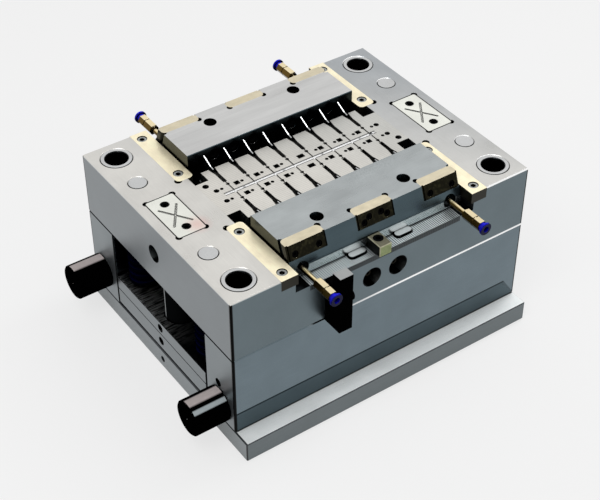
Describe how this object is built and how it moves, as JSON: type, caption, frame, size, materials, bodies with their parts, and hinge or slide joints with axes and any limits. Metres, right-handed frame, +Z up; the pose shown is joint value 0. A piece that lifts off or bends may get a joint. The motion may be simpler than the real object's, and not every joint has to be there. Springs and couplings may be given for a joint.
{
  "type": "injection mould half",
  "caption": "Moving half of an injection mould with two side slides, core inserts, sprung ejector plates, spacer blocks, guide bushes and a clamp plate.",
  "frame": {"origin": "centre of the ejector rod hole at the clamp plate's underside", "axes": "+Z up to the parting face, X along the long side, +Y from the front slide to the rear slide"},
  "size_m": [0.4985, 0.45, 0.259],
  "materials": {
    "ground_plate": "surface ground",
    "hardened_steel": "fine ground",
    "core_steel": "fine ground and spark eroded",
    "slide_steel": "milled and ground",
    "black_oxide": "black oxide",
    "black_paint": "gloss black",
    "bronze": "pale ground bronze",
    "brass": "turned brass",
    "blue_plastic": "moulded blue",
    "blue_spring": "blue enamel"
  },
  "bodies": {
    "mould_base": {"bottom_clamp_plate": "ground_plate", "spacer_block_front": "ground_plate", "spacer_block_rear": "ground_plate", "moving_plate": "ground_plate", "clamp_screws": "black_oxide", "spacer_screws": "black_oxide", "guide_bush_front_left": "hardened_steel", "guide_bush_front_right": "hardened_steel", "guide_bush_rear_left": "hardened_steel", "guide_bush_rear_right": "hardened_steel", "support_pillars": "hardened_steel", "stop_buttons": "hardened_steel", "ejector_guide_pins": "hardened_steel", "core_insert_front": "core_steel", "core_insert_rear": "core_steel", "core_insert_screws": "black_oxide", "wear_pad_left": "hardened_steel", "wear_pad_right": "hardened_steel", "wear_pad_screws": "black_oxide", "gib_front_left": "bronze", "gib_front_right": "bronze", "gib_rear_left": "bronze", "gib_rear_right": "bronze", "gib_screws": "black_oxide", "slide_wear_plate_front": "hardened_steel", "slide_wear_plate_rear": "hardened_steel", "slide_stop_keys": "hardened_steel", "slide_stop_front": "slide_steel", "slide_stop_rear": "slide_steel", "slide_stop_screws": "black_oxide", "mould_foot_front": "black_paint", "mould_foot_rear": "black_paint", "latch_block": "black_oxide", "latch_plug": "slide_steel", "latch_block_screws": "black_oxide", "cooling_nipples": "brass"},
    "ejector_set": {"ejector_plate": "ground_plate", "ejector_retainer_plate": "ground_plate", "ejector_plate_screws": "black_oxide", "return_pins": "hardened_steel", "ejector_pins": "hardened_steel", "runner_pins": "hardened_steel", "ejector_guide_bushes": "bronze", "return_springs": "blue_spring"},
    "front_slide": {"slide_front": "slide_steel", "core_blades_front": "hardened_steel", "heel_plates_front": "bronze", "slide_screws_front": "black_oxide", "hose_fitting_front_left": "brass", "hose_fitting_front_right": "brass"},
    "rear_slide": {"slide_rear": "slide_steel", "core_blades_rear": "hardened_steel", "heel_plates_rear": "bronze", "slide_screws_rear": "black_oxide", "hose_fitting_rear_left": "brass", "hose_fitting_rear_right": "brass"},
    "ring_front_left": {"release_ring_front_left": "blue_plastic"},
    "ring_front_right": {"release_ring_front_right": "blue_plastic"},
    "ring_rear_left": {"release_ring_rear_left": "blue_plastic"},
    "ring_rear_right": {"release_ring_rear_right": "blue_plastic"}
  },
  "joints": [
    {"name": "ejector_stroke", "type": "slide", "parent": "mould_base", "child": "ejector_set", "axis": [0, 0, 1], "range_m": [0, 0.04], "stiffness_N_per_m": 10000, "springref_m": -0.01, "deforming": ["return_springs"]},
    {"name": "front_slide_travel", "type": "slide", "parent": "mould_base", "child": "front_slide", "axis": [0, 1, 0], "range_m": [0, 0.017]},
    {"name": "rear_slide_travel", "type": "slide", "parent": "mould_base", "child": "rear_slide", "axis": [0, -1, 0], "range_m": [0, 0.017]},
    {"name": "ring_front_left_push", "type": "slide", "parent": "front_slide", "child": "ring_front_left", "axis": [0, 1, 0], "range_m": [0, 0.0015], "stiffness_N_per_m": 2000, "springref_m": -0.001},
    {"name": "ring_front_right_push", "type": "slide", "parent": "front_slide", "child": "ring_front_right", "axis": [0, 1, 0], "range_m": [0, 0.0015], "stiffness_N_per_m": 2000, "springref_m": -0.001},
    {"name": "ring_rear_left_push", "type": "slide", "parent": "rear_slide", "child": "ring_rear_left", "axis": [0, -1, 0], "range_m": [0, 0.0015], "stiffness_N_per_m": 2000, "springref_m": -0.001},
    {"name": "ring_rear_right_push", "type": "slide", "parent": "rear_slide", "child": "ring_rear_right", "axis": [0, -1, 0], "range_m": [0, 0.0015], "stiffness_N_per_m": 2000, "springref_m": -0.001}
  ]
}
